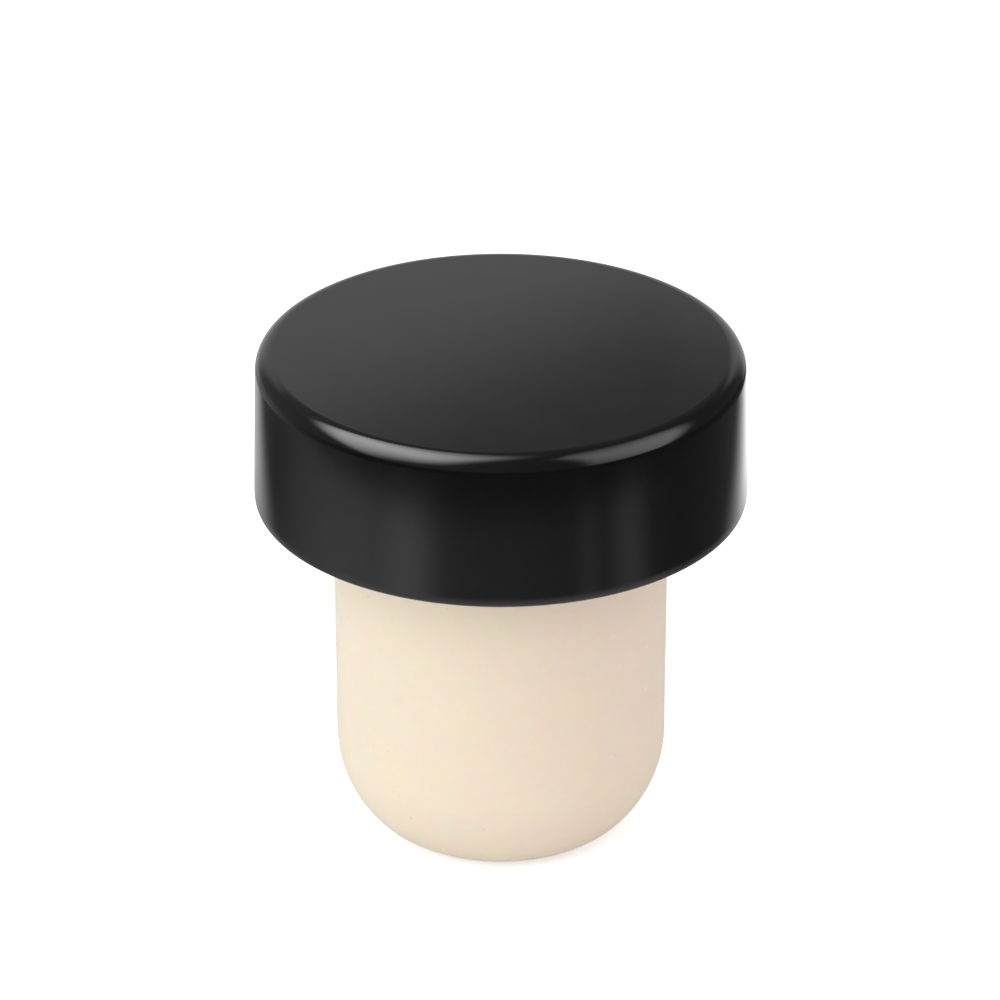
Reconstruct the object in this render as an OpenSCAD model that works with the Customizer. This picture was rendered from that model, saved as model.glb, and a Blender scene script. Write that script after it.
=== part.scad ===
// Bar-top bottle stopper: a moulded head glued to a rounded foam shank.
//
// Both pieces are turned about Z. The origin is the centre of the shoulder, the flat ring under
// the head that comes down on the bottle's lip: the head is above it and the shank is below it.
// All sizes are in millimetres, and angles are in degrees.

/* [Head] */
// Diameter of the head at its lower edge
head_d = 28.7; // [25:0.1:40]
// Height of the head above the shoulder
head_h = 9.2; // [6:0.1:18]
// Draft of the side wall, which leans in towards the top so that the moulding leaves its mould
head_draft = 1.5; // [0:0.25:5]
// Radius of the rounded top edge
top_edge_r = 1; // [0.3:0.1:3]
// Radius of the lower edge
rim_edge_r = 0.4; // [0.1:0.05:1.5]
// Depth of the seat, the shallow recess in the underside that the top of the shank sits in
seat_depth = 0.8; // [0.4:0.1:2]

/* [Spigot] */
// Diameter of the spigot that stands down from the seat into the shank
spigot_d = 9.4; // [6:0.1:14]
// Length of the spigot below the seat
spigot_l = 10; // [9:0.5:15]
// Chamfer at the tip of the spigot
spigot_chamfer = 0.8; // [0.2:0.1:1.6]
// Radius in the corner between the spigot and the seat
spigot_root_r = 0.4; // [0.1:0.05:0.5]
// Number of round grooves that key the glue
groove_count = 3; // [1:1:3]
// Radius of each glue groove
groove_r = 0.5; // [0.2:0.05:0.8]
// Spacing of the glue grooves along the spigot
groove_pitch = 2.4; // [1.8:0.1:2.6]
// Distance from the seat to the middle of the first groove
groove_start = 2.6; // [1.8:0.1:3]

/* [Shank] */
// Diameter of the straight part of the shank, which seals the bottle's neck
shank_d = 19.5; // [16:0.1:22]
// Length of the shank below the shoulder
shank_l = 21.1; // [18:0.1:35]
// How much smaller the radius of the shank is at its top, inside the seat
shank_bevel = 0.3; // [0.1:0.05:1]
// Large radius that rounds the lower end, next to the straight part
nose_r = 7; // [4:0.25:8]
// How far the large radius turns before the small one takes over
nose_sweep = 42; // [20:1:70]
// Small radius that runs on from the large one into the flat end
toe_r = 3; // [0.5:0.25:3.5]

/* [Fit] */
// Radial gap between the shank and the wall of the seat
seat_gap = 0.05; // [0.02:0.01:0.3]
// Radial gap for glue between the spigot and its bore
glue_gap = 0.15; // [0.05:0.05:0.4]
// Depth of the glue pocket between the spigot's tip and the bottom of the bore
glue_pocket = 1; // [0.5:0.25:2.5]
// Chamfer at the mouth of the bore, which clears the radius at the spigot's root
lead_in = 0.6; // [0.5:0.05:1.5]

/* [Hidden] */
$fn = 180;

// Every arc is drawn this much larger than its radius, so that it crosses the straight lines
// that it runs into and leaves one clean edge there, with no crack.
touch = 0.0002;

head_r = head_d / 2;
spigot_r = spigot_d / 2;
shank_r = shank_d / 2;
seat_r = shank_r + seat_gap;
bore_r = spigot_r + glue_gap;
bore_depth = spigot_l + glue_pocket;

function polar(r, angle) = [r * cos(angle), r * sin(angle)];

// The head's wall leans in by the draft: this is its radius at a height above the shoulder.
function wall_r(z) = head_r - z * tan(head_draft);

// Centre of an arc of radius r that touches the head's wall, at a height above the shoulder.
function wall_arc(r, z) = [wall_r(z) - r / cos(head_draft), z];

// The shank's end is two arcs that touch each other. The large one touches the straight wall
// and the small one touches the flat end, and the line through their centres meets both arcs
// where one takes over from the other.
toe_arc_x = shank_r - nose_r + (nose_r - toe_r) * cos(nose_sweep);
toe_arc = [toe_arc_x, toe_r - shank_l];
nose_arc = toe_arc - polar(nose_r - toe_r, -nose_sweep);

// What rounding an edge takes away: everything outside a disc, seen from its centre between
// two directions.
module edge_waste(centre, r, from, to) {
    reach = 4 * r;
    translate(centre)
        difference() {
            polygon([[0, 0], polar(reach, from), polar(reach, (from + to) / 2), polar(reach, to)]);
            circle(r + touch);
        }
}

// Half section of the head: two flat faces and a drafted wall with both edges rounded, and the
// seat in the underside.
module head_section() {
    difference() {
        polygon([[0, 0], [wall_r(0), 0], [wall_r(head_h), head_h], [0, head_h]]);
        edge_waste(wall_arc(rim_edge_r, rim_edge_r), rim_edge_r, -90, head_draft);
        edge_waste(wall_arc(top_edge_r, head_h - top_edge_r), top_edge_r, head_draft, 90);
        translate([0, -seat_depth])
            square([seat_r, 2 * seat_depth]);
    }
}

// Half section of the spigot, from just inside the head down to its chamfered tip, with the
// round grooves that run about it. Heights are from the seat.
module spigot_section() {
    difference() {
        polygon([
            [0, -spigot_l],
            [spigot_r - spigot_chamfer, -spigot_l],
            [spigot_r, spigot_chamfer - spigot_l],
            [spigot_r, spigot_root_r],
            [0, spigot_root_r]
        ]);
        for (i = [0 : groove_count - 1])
            translate([spigot_r, -groove_start - i * groove_pitch])
                circle(groove_r);
    }
}

// Half section of the hollow radius that fills the corner between the spigot and the seat. It
// starts well inside both the spigot and the head. Heights are from the seat.
module root_section() {
    difference() {
        translate([spigot_r - spigot_root_r, -spigot_root_r])
            square(2 * spigot_root_r);
        translate([spigot_r + spigot_root_r, -spigot_root_r])
            circle(spigot_root_r + touch);
    }
}

// Half section of the shank before it is bored: bevelled inside the seat, straight in the
// bottle's neck and rounded at its lower end.
module billet_section() {
    difference() {
        polygon([
            [0, -shank_l],
            [shank_r, -shank_l],
            [shank_r, 0],
            [shank_r - shank_bevel, seat_depth],
            [0, seat_depth]
        ]);
        edge_waste(nose_arc, nose_r, -90, 0);
        edge_waste(toe_arc, toe_r + touch, -90, -nose_sweep);
    }
}

// Half section of the blind bore that takes the spigot. Heights are from the seat, and the
// chamfer at the mouth runs on above it, so that the cut passes through the top of the shank.
module bore_section() {
    polygon([
        [0, -bore_depth],
        [bore_r, -bore_depth],
        [bore_r, -lead_in],
        [bore_r + 2 * lead_in, lead_in],
        [0, lead_in]
    ]);
}

// The moulded head, with the spigot in one piece with it.
module cap() {
    color("#1b1b1c")
        rotate_extrude() {
            head_section();
            translate([0, seat_depth]) {
                spigot_section();
                root_section();
            }
        }
}

// The foam shank that seals the bottle's neck. Its top face is glued to the head's seat.
module plug() {
    color("#ecdcc3")
        rotate_extrude()
            difference() {
                billet_section();
                translate([0, seat_depth])
                    bore_section();
            }
}

cap();
plug();
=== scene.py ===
# %% [markdown]
# # A bar-top bottle stopper
#
# The real stopper has two pieces. The head is injection moulded from glossy black ABS, with a
# spigot under it. The shank is a plug of cream foamed polymer, the synthetic cork that such
# stoppers are made with, and it is glued on to the spigot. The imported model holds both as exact
# solids. This script dresses them: finer meshes, their two finishes, the table that they stand
# on, the light and the camera.

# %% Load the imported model
import math
import bmesh
import bpy
from mathutils import Matrix, Vector, noise


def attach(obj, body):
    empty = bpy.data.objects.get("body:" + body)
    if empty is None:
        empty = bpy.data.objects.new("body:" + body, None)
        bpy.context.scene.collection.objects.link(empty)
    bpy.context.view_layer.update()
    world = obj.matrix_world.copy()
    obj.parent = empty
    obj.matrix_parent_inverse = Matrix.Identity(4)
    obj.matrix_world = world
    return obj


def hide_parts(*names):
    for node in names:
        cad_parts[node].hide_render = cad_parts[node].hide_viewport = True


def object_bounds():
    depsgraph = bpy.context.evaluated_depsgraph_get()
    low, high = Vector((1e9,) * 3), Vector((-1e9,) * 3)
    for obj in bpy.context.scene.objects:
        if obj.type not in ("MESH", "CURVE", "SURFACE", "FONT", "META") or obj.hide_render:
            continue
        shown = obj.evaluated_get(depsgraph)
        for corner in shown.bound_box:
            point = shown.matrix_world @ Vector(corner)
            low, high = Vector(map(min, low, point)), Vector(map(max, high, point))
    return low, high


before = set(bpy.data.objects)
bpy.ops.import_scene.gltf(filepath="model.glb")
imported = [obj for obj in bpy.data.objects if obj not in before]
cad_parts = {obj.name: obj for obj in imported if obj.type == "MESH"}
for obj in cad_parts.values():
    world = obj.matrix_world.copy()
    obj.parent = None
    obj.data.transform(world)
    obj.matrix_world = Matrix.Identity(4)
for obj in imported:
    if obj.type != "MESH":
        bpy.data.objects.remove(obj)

cad_low, cad_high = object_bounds()
print("stopper from", tuple(cad_low), "to", tuple(cad_high))

# %% [markdown]
# ## Sizes
#
# Sizes are given in millimetres, as on a drawing, and Blender works in metres. Heights are from
# the shoulder, the flat ring under the head that comes down on the bottle's lip: the head is
# above it and the shank is below it. They are the same values as in the CAD source, so each new
# mesh lies on the solid that it stands for. Only the lower edge of the head is drawn
# differently, and its sizes come with the head.

# %% Sizes of the head and the shank
def mm(length):
    """Millimetres to metres."""
    return length / 1000


HEAD_RADIUS = mm(14.35)
HEAD_HEIGHT = mm(9.2)
DRAFT = math.radians(1.5)
TOP_EDGE_RADIUS = mm(1.0)
SEAT_RADIUS = mm(9.8)
SEAT_DEPTH = mm(0.8)

SPIGOT_RADIUS = mm(4.7)
SPIGOT_LENGTH = mm(10.0)
SPIGOT_CHAMFER = mm(0.8)
SPIGOT_ROOT_RADIUS = mm(0.4)
GROOVE_RADIUS = mm(0.5)
GROOVE_PITCH = mm(2.4)
GROOVE_START = mm(2.6)
GROOVE_COUNT = 3

SHANK_RADIUS = mm(9.75)
SHANK_LENGTH = mm(21.1)
SHANK_BEVEL = mm(0.3)
NOSE_RADIUS = mm(7.0)
NOSE_SWEEP = math.radians(42)
TOE_RADIUS = mm(3.0)
BORE_RADIUS = mm(4.85)
BORE_DEPTH = mm(11.0)
BORE_LEAD_IN = mm(0.6)


def wall_radius(height):
    """The head's wall leans in by the draft."""
    return HEAD_RADIUS - height * math.tan(DRAFT)


print("these sizes give", 2 * HEAD_RADIUS, "x", HEAD_HEIGHT + SHANK_LENGTH)
print("the CAD model is", cad_high.x - cad_low.x, "x", cad_high.z - cad_low.z)

# %% [markdown]
# ## The camera
#
# A product shot of something this small is taken with a long lens from about 30 cm away. The
# long lens keeps the verticals nearly parallel. The camera looks down by 28 degrees, which shows
# the whole top of the head and still leaves most of the shank in view below it. It is aimed a
# little above the middle of the stopper instead of using lens shift, so that it can be moved
# round the stopper later and still keep it in the middle.

# %% Camera
CAMERA_DISTANCE = mm(297.3)
CAMERA_ELEVATION = math.radians(27.793)
CLIP_START, CLIP_END = mm(10), mm(20000)
AXIS_POINT = Vector((0, 0, mm(-3.965)))
AIM_POINT = Vector((mm(-0.045), mm(1.438), mm(-1.237)))
# Blender takes these two in millimetres.
SENSOR_WIDTH = 36.0
LENS = 182.67

towards_camera = Vector((0, -math.cos(CAMERA_ELEVATION), math.sin(CAMERA_ELEVATION)))
camera_data = bpy.data.cameras.new("long_lens")
camera_data.sensor_width = SENSOR_WIDTH
camera_data.lens = LENS
camera_data.clip_start = CLIP_START
camera_data.clip_end = CLIP_END
camera = bpy.data.objects.new("camera", camera_data)
bpy.context.scene.collection.objects.link(camera)
camera.location = AXIS_POINT + CAMERA_DISTANCE * towards_camera
camera.rotation_euler = (AIM_POINT - camera.location).to_track_quat("-Z", "Y").to_euler()
bpy.context.scene.camera = camera
print("camera at", tuple(camera.location))

# %% [markdown]
# ## Turned pieces
#
# Both pieces are round, so each one starts as half of its cross section: a few vertices joined
# by edges in the XZ plane. A full spin about Z turns that line into a closed skin. It could be
# cut from a cylinder by bevels and booleans instead, but a half section is how a mould maker
# draws such a piece, and it gives even rings with no odd faces.
#
# The spin leaves a stack of vertices on the axis at each pole, and merging doubles closes them.
# The normals are worked out after that.

# %% Helpers for turned pieces
AXIS = Vector((0, 0, 1))
MERGE_DISTANCE = mm(0.0005)


def add_line(bm, points):
    """Joins (radius, height) points in the XZ plane by edges, and returns the vertices."""
    verts = [bm.verts.new((r, 0, z)) for r, z in points]
    for a, b in zip(verts, verts[1:]):
        bm.edges.new((a, b))
    return verts


def sweep_vertex(bm, vert, centre, angle, steps):
    """Turns one vertex about a centre in the XZ plane, which draws an arc of edges."""
    swept = bmesh.ops.spin(bm, geom=[vert], cent=(centre[0], 0, centre[1]), axis=(0, 1, 0),
                           angle=angle, steps=steps)
    return next(g for g in swept["geom_last"] if isinstance(g, bmesh.types.BMVert))


def spin_about_axis(bm, steps):
    """Turns the half section into a closed skin, and closes its two poles."""
    bmesh.ops.spin(bm, geom=bm.verts[:] + bm.edges[:], cent=(0, 0, 0), axis=AXIS,
                   angle=2 * math.pi, steps=steps, use_merge=True)
    bmesh.ops.remove_doubles(bm, verts=bm.verts[:], dist=MERGE_DISTANCE)
    bmesh.ops.recalc_face_normals(bm, faces=bm.faces[:])


def make_piece(name, bm, material, node):
    """Makes the object, smooth shaded, hangs it under the root body and hides its CAD node."""
    mesh = bpy.data.meshes.new(name)
    for face in bm.faces:
        face.smooth = True
    bm.to_mesh(mesh)
    bm.free()
    mesh.materials.append(material)
    piece = bpy.data.objects.new(name, mesh)
    bpy.context.scene.collection.objects.link(piece)
    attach(piece, "root")
    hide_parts(node)
    triangles = sum(len(p.vertices) - 2 for p in mesh.polygons)
    print(name, len(mesh.vertices), "vertices", triangles, "triangles")


# %% Helpers for the edges of a turned piece
SUPPORT = mm(0.05)
TOLERANCE = mm(0.005)


def between(a, b, distance):
    """The point that lies a distance from a on the way to b."""
    a, b = Vector(a), Vector(b)
    return tuple(a + (b - a).normalized() * distance)


def ring_at(bm, radius, height):
    """The ring of edges round the axis at a radius and a height."""
    def on_ring(vert):
        return abs(math.hypot(vert.co.x, vert.co.y) - radius) < TOLERANCE \
            and abs(vert.co.z - height) < TOLERANCE
    ring = [edge for edge in bm.edges if all(on_ring(vert) for vert in edge.verts)]
    print(len(ring), "edges round the axis, at radius", radius, "and height", height)
    return ring


def round_ring(bm, ring, radius, turn, segments):
    """Bevels a ring of edges into an arc of the given radius that turns so far."""
    bmesh.ops.bevel(bm, geom=ring, offset=radius * math.tan(turn / 2), offset_type="OFFSET",
                    affect="EDGES", segments=segments, profile=0.5, material=-1)


# %% [markdown]
# ## Nodes
#
# One helper adds a node, sets it and links it, so that each material below reads as a list of
# what it is made of. Colours are written as sRGB hex values, as a paint chart gives them, and
# one function turns them to the linear values that the shader works with.

# %% Helpers for materials
def linear(hex_colour):
    """An sRGB hex colour as linear red, green, blue and alpha."""
    channels = [int(hex_colour[i:i + 2], 16) / 255 for i in (1, 3, 5)]
    return tuple(c / 12.92 if c <= 0.04045 else ((c + 0.055) / 1.055) ** 2.4
                 for c in channels) + (1.0,)


def add_node(tree, kind, settings=None, inputs=None):
    """Adds a node. An input is a value, or the socket of another node to link from."""
    node = tree.nodes.new(kind)
    for name, value in (settings or {}).items():
        setattr(node, name, value)
    for name, value in (inputs or {}).items():
        if isinstance(value, bpy.types.NodeSocket):
            tree.links.new(value, node.inputs[name])
        else:
            node.inputs[name].default_value = value
    return node


def new_material(name):
    """An empty node material and its output node."""
    material = bpy.data.materials.new(name)
    material.use_nodes = True
    material.node_tree.nodes.clear()
    return material, add_node(material.node_tree, "ShaderNodeOutputMaterial")


# %% [markdown]
# ## Glossy black ABS
#
# The head is injection moulded from ABS with black masterbatch in it, and its mould is polished.
# That gives a plastic that is nearly black all through: what the eye sees is almost only the
# studio reflected in its skin, a little blurred. ABS has an index of refraction of about 1.5,
# and a polished mould leaves it at a roughness of about 0.12.
#
# A moulding is never perfectly even. The skin is a little glossier where the melt met the cold
# steel first, and it cools into waves about 3 mm long and a few thousandths of a millimetre
# high. They are far too flat to see as shapes, but they make the reflections swim faintly. A
# finer ripple, a tenth of that, takes the hard edge off the highlights.

# %% Glossy black ABS
FLOW_LENGTH, FLOW_HEIGHT = mm(3), mm(0.003)
RIPPLE_LENGTH, RIPPLE_HEIGHT = mm(0.3), mm(0.0003)


def moulded_gloss_abs():
    material, output = new_material("moulded_gloss_abs")
    tree = material.node_tree
    place = add_node(tree, "ShaderNodeTexCoord").outputs["Object"]
    flow = add_node(tree, "ShaderNodeTexNoise", inputs={
        "Vector": place, "Scale": 1 / FLOW_LENGTH, "Detail": 2, "Roughness": 0.5})
    ripple = add_node(tree, "ShaderNodeTexNoise", inputs={
        "Vector": place, "Scale": 1 / RIPPLE_LENGTH, "Detail": 1})
    gloss = add_node(tree, "ShaderNodeMapRange", inputs={
        "Value": flow.outputs["Fac"], "From Min": 0.3, "From Max": 0.7,
        "To Min": 0.105, "To Max": 0.135})
    masterbatch = add_node(tree, "ShaderNodeMix", {"data_type": "RGBA"}, {
        "Factor": ripple.outputs["Fac"], 6: linear("#040404"), 7: linear("#0c0c0c")})
    waves = add_node(tree, "ShaderNodeBump", inputs={
        "Height": flow.outputs["Fac"], "Distance": FLOW_HEIGHT})
    skin = add_node(tree, "ShaderNodeBump", inputs={
        "Height": ripple.outputs["Fac"], "Distance": RIPPLE_HEIGHT,
        "Normal": waves.outputs["Normal"]})
    shader = add_node(tree, "ShaderNodeBsdfPrincipled", inputs={
        "Base Color": masterbatch.outputs[2], "Roughness": gloss.outputs["Result"],
        "IOR": 1.5, "Normal": skin.outputs["Normal"]})
    tree.links.new(shader.outputs["BSDF"], output.inputs["Surface"])
    print(material.name, len(tree.nodes), "nodes")
    return material


# %% [markdown]
# ## The head
#
# The half section runs from the middle of the top face, over the wall and under the rim, into
# the seat and down the spigot to its tip. The short lines beside the top corner leave room for
# a bevel there: the corner is rounded after the spin, by beveling its ring of edges. The wall
# runs into that bevel without a crease. The flat face meets it in a fine line, as it does where
# a mould's polished end plate meets its side, so that one ring is marked sharp.
#
# The rim is two arcs that touch, each drawn by one vertex as it is spun. The last half
# millimetre of the wall turns in very gently, by 6 degrees, and then a small radius takes over.
# The gentle one is too flat to change the outline, but the light creeps softly over it.
#
# The spigot is hidden in the shank, but the model can be taken apart, so it is made too. The
# root radius and the three glue grooves are arcs that one vertex draws as well.

# %% The points of the head
RIM_RADIUS = mm(0.35)
EASE_RADIUS = mm(3.5)
EASE_TURN = math.radians(6)
top_turn = math.pi / 2 - DRAFT
top_tangent = TOP_EDGE_RADIUS * math.tan(top_turn / 2)

crown = (0, HEAD_HEIGHT)
top_corner = (wall_radius(HEAD_HEIGHT), HEAD_HEIGHT)
ease_height = RIM_RADIUS + (EASE_RADIUS - RIM_RADIUS) * math.sin(EASE_TURN)
foot_height = ease_height + EASE_RADIUS * math.sin(DRAFT)
wall_foot = (wall_radius(foot_height), foot_height)
ease_centre = (wall_foot[0] - EASE_RADIUS * math.cos(DRAFT), ease_height)
rim_centre = (ease_centre[0] + (EASE_RADIUS - RIM_RADIUS) * math.cos(EASE_TURN), RIM_RADIUS)
seat_mouth = (SEAT_RADIUS, 0)
root_edge = SPIGOT_RADIUS + SPIGOT_ROOT_RADIUS
tip = SEAT_DEPTH - SPIGOT_LENGTH
print("wall from", wall_foot, "to", top_corner, "and the spigot's tip at", tip)

# %% The head
HEAD_STEPS = 256
TOP_SEGMENTS = 14
EASE_SEGMENTS = 16
RIM_SEGMENTS = 14
ROOT_SEGMENTS = 6
GROOVE_SEGMENTS = 10

bm = bmesh.new()
over = add_line(bm, [
    crown,
    between(top_corner, crown, top_tangent + SUPPORT),
    top_corner,
    between(top_corner, wall_foot, top_tangent + SUPPORT),
    between(wall_foot, top_corner, SUPPORT),
    wall_foot])
end = sweep_vertex(bm, over[-1], ease_centre, DRAFT + EASE_TURN, EASE_SEGMENTS)
end = sweep_vertex(bm, end, rim_centre, math.pi / 2 - EASE_TURN, RIM_SEGMENTS)
under = add_line(bm, [
    (rim_centre[0] - SUPPORT, 0),
    seat_mouth,
    (SEAT_RADIUS, SEAT_DEPTH),
    (root_edge, SEAT_DEPTH)])
bm.edges.new((end, under[0]))
end = sweep_vertex(bm, under[-1], (root_edge, SEAT_DEPTH - SPIGOT_ROOT_RADIUS), -math.pi / 2,
                   ROOT_SEGMENTS)
for groove in range(GROOVE_COUNT):
    middle = SEAT_DEPTH - GROOVE_START - groove * GROOVE_PITCH
    start = bm.verts.new((SPIGOT_RADIUS, 0, middle + GROOVE_RADIUS))
    bm.edges.new((end, start))
    end = sweep_vertex(bm, start, (SPIGOT_RADIUS, middle), -math.pi, GROOVE_SEGMENTS)
last = add_line(bm, [(SPIGOT_RADIUS, tip + SPIGOT_CHAMFER),
                     (SPIGOT_RADIUS - SPIGOT_CHAMFER, tip), (0, tip)])
bm.edges.new((end, last[0]))
spin_about_axis(bm, HEAD_STEPS)
round_ring(bm, ring_at(bm, *top_corner), TOP_EDGE_RADIUS, top_turn, TOP_SEGMENTS)
for edge in ring_at(bm, top_corner[0] - top_tangent, HEAD_HEIGHT):
    edge.smooth = False
make_piece("head", bm, moulded_gloss_abs(), "cap")

# %% [markdown]
# ## Foamed polymer cork
#
# The shank is moulded from a foamed elastomer, usually SEBS or a polyethylene blend: the melt
# holds a blowing agent, so it sets as a mass of closed cells 0.1 to 0.2 mm across inside a thin
# skin. It is tinted cream to pass for cork. The skin is matt and slightly waxy, and light
# travels up to about 2 mm in it, red light the farthest, which warms the shadow under the head.
#
# What the eye gets, from large to small: clouds of slightly yellower, pinker and paler cream, up
# to a few millimetres across, where the tint isn't mixed in evenly; here and there a cell that
# has burst at the skin and left a pinhole, coloured a darker brown as painted shade in the pit;
# a few pale spots, where a larger cell lies just under the skin; and a fine grain from the cells
# all over.
#
# The clouds are the three channels of one noise, laid over the cream very thinly. The pinholes
# and the spots are scattered by a Voronoi texture. Each of its cells has one point and one
# random colour, so a threshold on the distance to the point makes a dot, one channel of the
# colour decides which dots are kept, and another one how strong each of them is.

# %% Foamed polymer cork
CLOUD_SIZE = mm(2.5)
PINHOLE_SPACING, PINHOLE_RADIUS, PINHOLE_DEPTH = mm(1.1), mm(0.11), mm(0.01)
SPOT_SPACING, SPOT_RADIUS = mm(1.6), mm(0.25)
DOT_SHARE = 0.35
FOAM_CELL, GRAIN_HEIGHT = mm(0.15), mm(0.003)


def scattered_dots(tree, place, spacing, radius, share):
    """Soft round dots of many strengths, in the given share of the cells of a Voronoi texture."""
    cells = add_node(tree, "ShaderNodeTexVoronoi", inputs={"Vector": place, "Scale": 1 / spacing})
    dot = add_node(tree, "ShaderNodeMapRange", {"interpolation_type": "SMOOTHSTEP"}, {
        "Value": cells.outputs["Distance"], "From Min": radius / spacing, "From Max": 0.0})
    draw = add_node(tree, "ShaderNodeSeparateColor", inputs={"Color": cells.outputs["Color"]})
    kept = add_node(tree, "ShaderNodeMath", {"operation": "LESS_THAN"}, {
        0: draw.outputs["Red"], 1: share})
    mask = dot.outputs["Result"]
    for part in (kept.outputs[0], draw.outputs["Green"]):
        mask = add_node(tree, "ShaderNodeMath", {"operation": "MULTIPLY"}, {
            0: mask, 1: part}).outputs[0]
    return mask


def foamed_polymer_cork():
    material, output = new_material("foamed_polymer_cork")
    tree = material.node_tree
    place = add_node(tree, "ShaderNodeTexCoord").outputs["Object"]

    clouds = add_node(tree, "ShaderNodeTexNoise", inputs={
        "Vector": place, "Scale": 1 / CLOUD_SIZE, "Detail": 5, "Roughness": 0.75})
    cream = add_node(tree, "ShaderNodeMix", {"data_type": "RGBA", "blend_type": "LINEAR_LIGHT"}, {
        "Factor": 0.05, 6: linear("#ecdcc4"), 7: clouds.outputs["Color"]})
    pinholes_and_pit_shade = scattered_dots(tree, place, PINHOLE_SPACING, PINHOLE_RADIUS, DOT_SHARE)
    spots = scattered_dots(tree, place, SPOT_SPACING, SPOT_RADIUS, DOT_SHARE)
    spotted = add_node(tree, "ShaderNodeMix", {"data_type": "RGBA"}, {
        "Factor": spots, 6: cream.outputs[2], 7: linear("#f0e8dc")})
    # The pinholes are mixed in a darker brown, which is painted shade in the pits.
    pit_shade_painted = add_node(tree, "ShaderNodeMix", {"data_type": "RGBA"}, {
        "Factor": pinholes_and_pit_shade, 6: spotted.outputs[2], 7: linear("#bfa57f")})

    cells = add_node(tree, "ShaderNodeTexNoise", inputs={
        "Vector": place, "Scale": 1 / FOAM_CELL, "Detail": 1})
    matt = add_node(tree, "ShaderNodeMapRange", inputs={
        "Value": clouds.outputs["Fac"], "From Min": 0.3, "From Max": 0.7,
        "To Min": 0.65, "To Max": 0.75})
    grain = add_node(tree, "ShaderNodeBump", inputs={
        "Height": cells.outputs["Fac"], "Distance": GRAIN_HEIGHT})
    pits = add_node(tree, "ShaderNodeBump", {"invert": True}, {
        "Height": pinholes_and_pit_shade, "Distance": PINHOLE_DEPTH, "Normal": grain.outputs["Normal"]})
    shader = add_node(tree, "ShaderNodeBsdfPrincipled", inputs={
        "Base Color": pit_shade_painted.outputs[2], "Roughness": matt.outputs["Result"], "IOR": 1.5,
        "Specular IOR Level": 0.2, "Subsurface Weight": 0.5,
        "Subsurface Radius": (1.0, 0.35, 0.12), "Subsurface Scale": mm(2.2),
        "Normal": pits.outputs["Normal"]})
    tree.links.new(shader.outputs["BSDF"], output.inputs["Surface"])
    print(material.name, len(tree.nodes), "nodes")
    return material


# %% [markdown]
# ## The shank
#
# Its half section starts at the bottom of the blind bore and runs up the bore, over the flat top
# in the seat, down the wall and round the two arcs of the lower end to the middle of the flat
# foot. The wall and the foot are cut into short steps, because a foam moulding isn't truly
# round: it shrinks a little unevenly as it cools. After the spin the outer skin is moved along
# its normals by a smooth noise, two hundredths of a millimetre either way, and a few soft sinks
# are pressed into it. The noise starts at nothing at the shoulder, so the fit in the seat stays.

# %% The section of the shank
SHANK_STEPS = 320
RING = mm(0.2)
NOSE_SEGMENTS = 24
TOE_SEGMENTS = 14
FOOT_RINGS = 24
toe_centre = (SHANK_RADIUS - NOSE_RADIUS + (NOSE_RADIUS - TOE_RADIUS) * math.cos(NOSE_SWEEP),
              TOE_RADIUS - SHANK_LENGTH)
nose_centre = (SHANK_RADIUS - NOSE_RADIUS,
               toe_centre[1] + (NOSE_RADIUS - TOE_RADIUS) * math.sin(NOSE_SWEEP))
wall_rings = round(-nose_centre[1] / RING)

bm = bmesh.new()
line = add_line(bm, [
    (0, SEAT_DEPTH - BORE_DEPTH),
    (BORE_RADIUS, SEAT_DEPTH - BORE_DEPTH),
    (BORE_RADIUS, SEAT_DEPTH - BORE_LEAD_IN),
    (BORE_RADIUS + BORE_LEAD_IN, SEAT_DEPTH),
    (SHANK_RADIUS - SHANK_BEVEL, SEAT_DEPTH)]
    + [(SHANK_RADIUS, nose_centre[1] * i / wall_rings) for i in range(wall_rings + 1)])
end = sweep_vertex(bm, line[-1], nose_centre, NOSE_SWEEP, NOSE_SEGMENTS)
end = sweep_vertex(bm, end, toe_centre, math.pi / 2 - NOSE_SWEEP, TOE_SEGMENTS)
foot = add_line(bm, [(toe_centre[0] * (1 - i / FOOT_RINGS), -SHANK_LENGTH)
                     for i in range(1, FOOT_RINGS + 1)])
bm.edges.new((end, foot[0]))
spin_about_axis(bm, SHANK_STEPS)
print(len(bm.verts), "vertices in the true form of the shank")

# %% The skin of the shank
UNEVENNESS = mm(0.02)
WAVELENGTH = mm(3.5)
SINK_DEPTH = mm(0.035)
SINK_SPACING = mm(5)
SINK_START = 0.35
SINK_SHIFT = Vector((7, 3, 5))
MARGIN = mm(1)


def skin_offset(point):
    """How far the foam's skin lies out from the true form at a point."""
    fade = min(1, max(0, -point.z / MARGIN))
    swell = noise.noise(point / WAVELENGTH, noise_basis="PERLIN_ORIGINAL")
    sink = max(0, noise.noise(point / SINK_SPACING + SINK_SHIFT) - SINK_START)
    return fade * (UNEVENNESS * swell - SINK_DEPTH * sink)


def on_skin(point):
    """Whether a point is on the outside of the shank, and not in its bore."""
    return point.z < 0 and (math.hypot(point.x, point.y) > BORE_RADIUS + MARGIN
                            or point.z < MARGIN - SHANK_LENGTH)


skin = [vert for vert in bm.verts if on_skin(vert.co)]
offsets = [skin_offset(vert.co) for vert in skin]
moves = [vert.normal * offset for vert, offset in zip(skin, offsets)]
for vert, move in zip(skin, moves):
    vert.co += move
print("skin moved by", min(offsets), "to", max(offsets))
make_piece("shank", bm, foamed_polymer_cork(), "plug")

# %% [markdown]
# ## The table
#
# The stopper stands on a plain white table. Its material is a plain white paint, and a little
# light of its own is added to it where the camera, a reflection or a view through something
# looks at it. That makes the table read as pure white without one more lamp on the object, and
# the soft shadow at the stopper's foot stays.

# %% The table
TABLE_RADIUS = mm(3000)
TABLE_SIDES = 64
TABLE_GLOW = 0.5
TABLE_GAP = mm(0.02)
table_height = cad_low.z - TABLE_GAP


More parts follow.
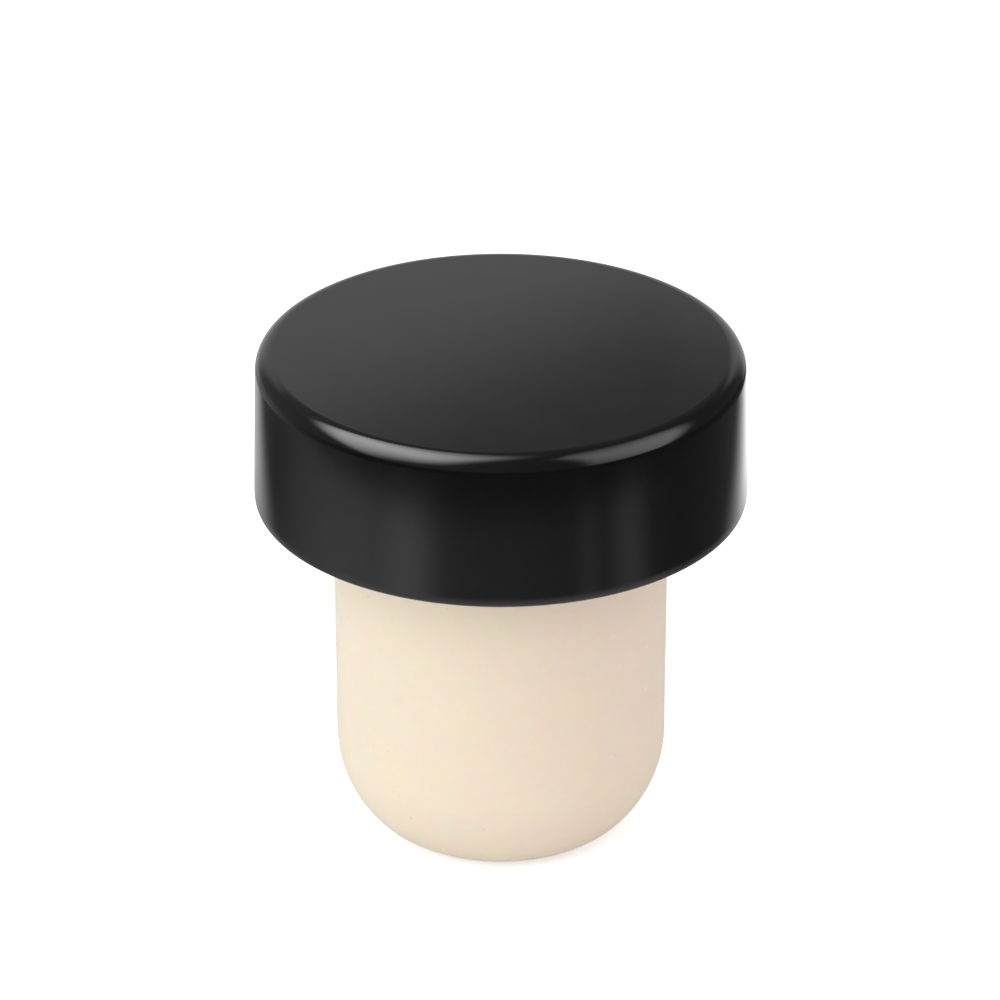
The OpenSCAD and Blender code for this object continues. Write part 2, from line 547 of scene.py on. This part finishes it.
def seen_directly(tree):
    """1 for the rays that show a background: camera, glossy and transmission rays."""
    rays = add_node(tree, "ShaderNodeLightPath").outputs
    seen = rays["Is Camera Ray"]
    for ray in ("Is Glossy Ray", "Is Transmission Ray"):
        seen = add_node(tree, "ShaderNodeMath", {"operation": "ADD", "use_clamp": True},
                        {0: seen, 1: rays[ray]}).outputs[0]
    return seen


def white_table():
    material, output = new_material("white_table")
    tree = material.node_tree
    paint = add_node(tree, "ShaderNodeBsdfDiffuse", inputs={"Color": linear("#f0f0f0")})
    glow = add_node(tree, "ShaderNodeEmission", inputs={"Strength": TABLE_GLOW})
    lit = add_node(tree, "ShaderNodeAddShader", inputs={0: paint.outputs[0], 1: glow.outputs[0]})
    shown = add_node(tree, "ShaderNodeMixShader", inputs={
        0: seen_directly(tree), 1: paint.outputs[0], 2: lit.outputs[0]})
    tree.links.new(shown.outputs[0], output.inputs["Surface"])
    return material


def place_prop(name, bm, material):
    """Adds a mesh that belongs to the studio and not to the stopper."""
    mesh = bpy.data.meshes.new(name)
    bm.to_mesh(mesh)
    bm.free()
    mesh.materials.append(material)
    prop = bpy.data.objects.new(name, mesh)
    bpy.context.scene.collection.objects.link(prop)
    print(name, len(mesh.polygons), "faces")
    return prop


bm = bmesh.new()
bmesh.ops.create_circle(bm, cap_ends=True, radius=TABLE_RADIUS, segments=TABLE_SIDES)
bmesh.ops.translate(bm, verts=bm.verts[:], vec=(0, 0, table_height))
place_prop("table", bm, white_table())

# %% [markdown]
# ## The room and the lamp
#
# The object is lit by a pale room all round, which is the world, and by one large softbox at the
# front left. The lamp is a shade greener than the room, as they often are, so the stopper's lit
# side looks a little yellower and its other side a little pinker.
#
# Gloss is lit apart from this, as a photographer does with black gloss: it shows nothing but
# what stands round it, so that is chosen for its own sake. The lamp here lights matt surfaces
# only.

# %% The room and the lamp
world = bpy.data.worlds.new("studio")
bpy.context.scene.world = world
world.use_nodes = True
tree = world.node_tree
tree.nodes.clear()
room = add_node(tree, "ShaderNodeBackground", inputs={
    "Color": linear("#fcf7ff"), "Strength": 0.95})
backdrop = add_node(tree, "ShaderNodeBackground", inputs={
    "Color": linear("#ffffff"), "Strength": 1.0})
shown = add_node(tree, "ShaderNodeMixShader", inputs={
    0: seen_directly(tree), 1: room.outputs[0], 2: backdrop.outputs[0]})
add_node(tree, "ShaderNodeOutputWorld", inputs={"Surface": shown.outputs[0]})


def lamp_place(azimuth, elevation, roll, distance):
    """Where a lamp stands, facing the stopper. Azimuth 0 is towards the camera, 90 is right."""
    a, e, r = map(math.radians, (azimuth, elevation, roll))
    way = Vector((math.sin(a) * math.cos(e), -math.cos(a) * math.cos(e), math.sin(e)))
    side = Vector((math.cos(a), math.sin(a), 0))
    across = side * math.cos(r) + way.cross(side) * math.sin(r)
    place = Matrix((across, way.cross(across), way)).transposed().to_4x4()
    place.translation = way * distance
    return place


def add_lamp(name, place, width, length, level):
    """Adds a rectangular lamp whose face has the given radiance, where 1 looks white."""
    light = bpy.data.lights.new(name, "AREA")
    light.shape = "RECTANGLE"
    light.size = width
    light.size_y = length
    light.energy = level * math.pi * width * length
    lamp = bpy.data.objects.new(name, light)
    bpy.context.scene.collection.objects.link(lamp)
    lamp.matrix_world = place
    lamp.visible_camera = False
    print(name, "at", tuple(lamp.location))
    return lamp


softbox_place = lamp_place(azimuth=-50, elevation=30, roll=0, distance=mm(500))
softbox = add_lamp("left_softbox", softbox_place, width=mm(450), length=mm(450), level=1.55)
softbox.data.color = linear("#e6fffa")[:3]
softbox.visible_glossy = False

# %% [markdown]
# ## The windows in the gloss
#
# Black gloss shows little of its own, so what it mirrors has to be placed with as much care as
# the light. Two windows make the long highlights along the rounded edge: a large bright one at
# the upper left and a narrow dim one at the right, which is brighter towards its top.
#
# Each is a sheet of cloth with a light behind it. It fades towards its four edges, and each edge
# hangs at its own slant, which gives the highlights their pointed ends. The node tree of the
# lamp does that: Parametric gives the place on its face, from 0 to 1 across and along it, and
# the light rises smoothly inside four slanted lines. The windows show in reflections only,
# because the softbox already lights the shank.

# %% The windows in the gloss
def soften(window, edges, lean):
    """Fades a lamp's face towards its edges, and tilts its level across and along it.

    Each edge is (across, along, none, full): the light is 0 where across * u + along * v is at
    none, and all there where it is at full. u and v run from 0 to 1 over the face.
    """
    window.data.use_nodes = True
    tree = window.data.node_tree
    tree.nodes.clear()
    spot = add_node(tree, "ShaderNodeNewGeometry").outputs["Parametric"]
    slope = add_node(tree, "ShaderNodeVectorMath", {"operation": "DOT_PRODUCT"}, {
        0: spot, 1: (2 * lean[0], 2 * lean[1], 0)})
    glow = add_node(tree, "ShaderNodeMath", {"operation": "ADD"}, {
        0: slope.outputs["Value"], 1: 1 - lean[0] - lean[1]}).outputs[0]
    for across, along, none, full in edges:
        inside = add_node(tree, "ShaderNodeVectorMath", {"operation": "DOT_PRODUCT"}, {
            0: spot, 1: (across, along, 0)})
        fade = add_node(tree, "ShaderNodeMapRange", {"interpolation_type": "SMOOTHSTEP"}, {
            "Value": inside.outputs["Value"], "From Min": none, "From Max": full})
        glow = add_node(tree, "ShaderNodeMath", {"operation": "MULTIPLY"}, {
            0: glow, 1: fade.outputs["Result"]}).outputs[0]
    light = add_node(tree, "ShaderNodeMath", {"operation": "MAXIMUM"}, {0: glow, 1: 0})
    cloth = add_node(tree, "ShaderNodeEmission", inputs={"Strength": light.outputs[0]})
    add_node(tree, "ShaderNodeOutputLight", inputs={"Surface": cloth.outputs[0]})


left_place = lamp_place(azimuth=-68, elevation=52, roll=19, distance=mm(400))
left_window = add_lamp("left_window", left_place, width=mm(540), length=mm(1090), level=9)
soften(left_window, lean=(0.45, -0.1), edges=(
    (1, 0.55, 0.3, 0.55),
    (-1, -0.4, -1.2, -0.9),
    (-0.4, 1, -0.2, 0.6),
    (-0.35, -1, -1.15, -0.7)))
right_place = lamp_place(azimuth=69, elevation=33, roll=-59, distance=mm(400))
right_window = add_lamp("right_window", right_place, width=mm(575), length=mm(1390), level=2.3)
soften(right_window, lean=(-0.05, 0.95), edges=(
    (1, 2, 1, 1.2),
    (-1, -2, -2, -1.75),
    (-0.15, 1, -0.1, 0.35),
    (0.35, -1, -0.8, -0.3)))
for window in (left_window, right_window):
    window.visible_diffuse = False


# %% [markdown]
# ## The cards in the gloss
#
# Large plain surfaces do the rest. They could be lamps too, but a card with its own light can
# carry any pattern, and its visibility settings keep it out of sight, out of the shadows and out
# of the light on the shank.
#
# Behind the stopper stands a pale card, with its upper edge out of focus. The flat top of the
# head mirrors that edge, which is the slow change from grey to dark across it. The edge slopes
# down to the right and turns up again at its right end.

# %% Helpers for the cards
def show_in_gloss_only(prop):
    """A card that reflections see, and that neither lights nor hides anything else."""
    prop.visible_camera = False
    prop.visible_diffuse = False
    prop.visible_transmission = False
    prop.visible_shadow = False


def soft_band(tree, value, start, end, start_fade, end_fade):
    """1 between start and end, falling smoothly to 0 over the fade inside each of them."""
    edges = [add_node(tree, "ShaderNodeMapRange", {"interpolation_type": "SMOOTHSTEP"}, {
        "Value": value, "From Min": outside, "From Max": inside}).outputs["Result"]
        for outside, inside in ((start, start + start_fade), (end, end - end_fade))]
    return add_node(tree, "ShaderNodeMath", {"operation": "MULTIPLY"}, {
        0: edges[0], 1: edges[1]}).outputs[0]


def object_axes(tree):
    """The x, y and z of a point on a studio card, in metres."""
    place = add_node(tree, "ShaderNodeTexCoord").outputs["Object"]
    return add_node(tree, "ShaderNodeSeparateXYZ", inputs={0: place}).outputs


# %% The card behind
BACK_DISTANCE = mm(100)
BACK_REACH = mm(400)
BACK_LEFT, BACK_LEFT_FADE = mm(-103), mm(52)
BACK_RIGHT, BACK_RIGHT_FADE = mm(99), mm(46)
EDGE_NONE, EDGE_FULL = mm(66), mm(50)
EDGE_SLOPE = 0.4
UPTURN_START, UPTURN_SLOPE = mm(12), 0.8
# A height on the card, and its level there.
GREY_LOW, GREY_HIGH = (mm(-42), 0.93), (mm(58), 0.63)


def back_card():
    material, output = new_material("back_card")
    tree = material.node_tree
    x, _, z = object_axes(tree)
    sloped = add_node(tree, "ShaderNodeMath", {"operation": "MULTIPLY_ADD"}, {
        0: x, 1: EDGE_SLOPE, 2: z})
    beyond = add_node(tree, "ShaderNodeMath", {"operation": "SUBTRACT"}, {0: x, 1: UPTURN_START})
    beyond = add_node(tree, "ShaderNodeMath", {"operation": "MAXIMUM"}, {
        0: beyond.outputs[0], 1: 0})
    rise = add_node(tree, "ShaderNodeMath", {"operation": "MULTIPLY_ADD"}, {
        0: beyond.outputs[0], 1: -UPTURN_SLOPE, 2: sloped.outputs[0]})
    width = soft_band(tree, x, BACK_LEFT, BACK_RIGHT, BACK_LEFT_FADE, BACK_RIGHT_FADE)
    height = add_node(tree, "ShaderNodeMapRange", {"interpolation_type": "SMOOTHSTEP"}, {
        "Value": rise.outputs[0], "From Min": EDGE_NONE, "From Max": EDGE_FULL})
    shape = add_node(tree, "ShaderNodeMath", {"operation": "MULTIPLY"}, {
        0: width, 1: height.outputs["Result"]})
    level = add_node(tree, "ShaderNodeMapRange", inputs={
        "Value": z, "From Min": GREY_LOW[0], "From Max": GREY_HIGH[0],
        "To Min": GREY_LOW[1], "To Max": GREY_HIGH[1]})
    card = add_node(tree, "ShaderNodeEmission", inputs={"Strength": level.outputs["Result"]})
    clear = add_node(tree, "ShaderNodeBsdfTransparent")
    cut = add_node(tree, "ShaderNodeMixShader", inputs={
        0: shape.outputs[0], 1: clear.outputs[0], 2: card.outputs[0]})
    tree.links.new(cut.outputs[0], output.inputs["Surface"])
    return material


bm = bmesh.new()
bmesh.ops.create_grid(bm, x_segments=1, y_segments=1, size=BACK_REACH)
bmesh.ops.rotate(bm, verts=bm.verts[:], matrix=Matrix.Rotation(math.pi / 2, 3, "X"))
bmesh.ops.translate(bm, verts=bm.verts[:], vec=(0, BACK_DISTANCE, table_height + BACK_REACH))
show_in_gloss_only(place_prop("back_card", bm, back_card()))

# %% [markdown]
# ## The card on the table
#
# Seen from above, the wall of the head mirrors the table, so a card lies there too, with papers
# on it. Each paper lies in one direction from the stopper's foot and is brightest in its
# middle. A broad one lies at the left with a bright streak in it, a faint one in front, and
# another faint one at the right with two streaks in it. The wall mirrors them as its soft
# upright bands. Farther out the card is nearly black, and it grows paler only at the left
# towards the back.
#
# A white strip runs back from the stopper to the pale card, and draws the bright line down each
# side of the wall. A paler patch close to the foot is what the eased lower edge mirrors. It is
# painted darker towards the back and the sides, under the head: painted shadow of the head.

# %% The papers on the table
# The azimuth of a paper's middle and its reach to either side in degrees, and its brightness.
PAPERS = ((-60, 60, 0.65), (-38, 18, 0.5), (0, 40, 0.2), (36, 8, 0.15), (45, 40, 0.15),
          (55, 13, 0.3))
BARE_LEVEL = 0.1
# Where each change starts and ends, and then its value at the start and at the end.
FAR_SHARE = (mm(72), mm(74), 0, 1)
FAR_LEVEL = (math.radians(-150), math.radians(-60), 0.45, 0.07)
STRIP_SHARE = (mm(9), mm(27), 0, 1)
STRIP_LEVEL = (mm(-30), mm(30), 0.75, 1.5)
FOOT_SHARE = (mm(54), mm(38), 0, 1)
# The foot patch goes from 0.9 in front to 0.45 under the head: painted shadow of the head.
FOOT_LEVEL_WITH_PAINTED_SHADOW = (mm(-18), mm(-6), 0.9, 0.45)
STRIP_LEFT, STRIP_LEFT_FADE = mm(-51), mm(15)
STRIP_RIGHT, STRIP_RIGHT_FADE = mm(52), mm(22)
print(len(PAPERS), "papers on the table card")

# %% The card on the table
TABLE_CARD_RADIUS = mm(900)


def table_card():
    material, output = new_material("table_card")
    tree = material.node_tree
    x, y, _ = object_axes(tree)
    front = add_node(tree, "ShaderNodeMath", {"operation": "MULTIPLY"}, {0: y, 1: -1})
    azimuth = add_node(tree, "ShaderNodeMath", {"operation": "ARCTAN2"}, {
        0: x, 1: front.outputs[0]}).outputs[0]
    near = BARE_LEVEL
    for middle, reach, brightness in PAPERS:
        away = add_node(tree, "ShaderNodeMath", {"operation": "SUBTRACT"}, {
            0: azimuth, 1: math.radians(middle)})
        away = add_node(tree, "ShaderNodeMath", {"operation": "ABSOLUTE"}, {0: away.outputs[0]})
        paper = add_node(tree, "ShaderNodeMapRange", {"interpolation_type": "SMOOTHSTEP"}, {
            "Value": away.outputs[0], "From Min": math.radians(reach), "From Max": 0,
            "To Max": brightness})
        near = add_node(tree, "ShaderNodeMath", {"operation": "ADD"}, {
            0: near, 1: paper.outputs["Result"]}).outputs[0]

    flat = add_node(tree, "ShaderNodeCombineXYZ", inputs={"X": x, "Y": y})
    radius = add_node(tree, "ShaderNodeVectorMath", {"operation": "LENGTH"}, {
        0: flat.outputs[0]}).outputs["Value"]
    outside, far, behind, behind_level, foot, foot_level_with_painted_shadow = [
        add_node(tree, "ShaderNodeMapRange", {"interpolation_type": "SMOOTHSTEP"}, {
            "Value": value, "From Min": start, "From Max": end,
            "To Min": start_level, "To Max": end_level}).outputs["Result"]
        for value, (start, end, start_level, end_level) in (
            (radius, FAR_SHARE), (azimuth, FAR_LEVEL), (y, STRIP_SHARE), (x, STRIP_LEVEL),
            (radius, FOOT_SHARE), (y, FOOT_LEVEL_WITH_PAINTED_SHADOW))]
    across = soft_band(tree, x, STRIP_LEFT, STRIP_RIGHT, STRIP_LEFT_FADE, STRIP_RIGHT_FADE)
    strip = add_node(tree, "ShaderNodeMath", {"operation": "MULTIPLY"}, {0: across, 1: behind})
    level = near
    for share, upper in ((outside, far), (strip.outputs[0], behind_level), (foot, foot_level_with_painted_shadow)):
        level = add_node(tree, "ShaderNodeMix", inputs={
            "Factor": share, 2: level, 3: upper}).outputs[0]
    card = add_node(tree, "ShaderNodeEmission", inputs={"Strength": level})
    tree.links.new(card.outputs[0], output.inputs["Surface"])
    return material


bm = bmesh.new()
bmesh.ops.create_circle(bm, cap_ends=True, radius=TABLE_CARD_RADIUS, segments=TABLE_SIDES)
bmesh.ops.translate(bm, verts=bm.verts[:], vec=(0, 0, table_height + TABLE_GAP / 2))
show_in_gloss_only(place_prop("table_card", bm, table_card()))

# %% [markdown]
# ## The tent
#
# A dim tent all round stands for the rest of the studio, a little lighter at the left than at
# the right. Without it, whatever no window or card covers would be mirrored as pure white.

# %% The tent
TENT_RADIUS = mm(900)
TENT_FADE = mm(720)
TENT_SIDES, TENT_RINGS = 96, 48
TENT_LEFT_LEVEL, TENT_RIGHT_LEVEL = 0.26, 0.13


def tent_cloth():
    material, output = new_material("tent_cloth")
    tree = material.node_tree
    level = add_node(tree, "ShaderNodeMapRange", {"interpolation_type": "SMOOTHSTEP"}, {
        "Value": object_axes(tree)["X"], "From Min": -TENT_FADE, "From Max": TENT_FADE,
        "To Min": TENT_LEFT_LEVEL, "To Max": TENT_RIGHT_LEVEL})
    dim = add_node(tree, "ShaderNodeEmission", inputs={"Strength": level.outputs["Result"]})
    tree.links.new(dim.outputs[0], output.inputs["Surface"])
    return material


bm = bmesh.new()
bmesh.ops.create_uvsphere(bm, u_segments=TENT_SIDES, v_segments=TENT_RINGS,
                          radius=TENT_RADIUS)
show_in_gloss_only(place_prop("tent", bm, tent_cloth()))

# %% [markdown]
# ## The view
#
# The Standard view shows a colour as it is written.

# %% The view
bpy.context.scene.view_settings.view_transform = "Standard"
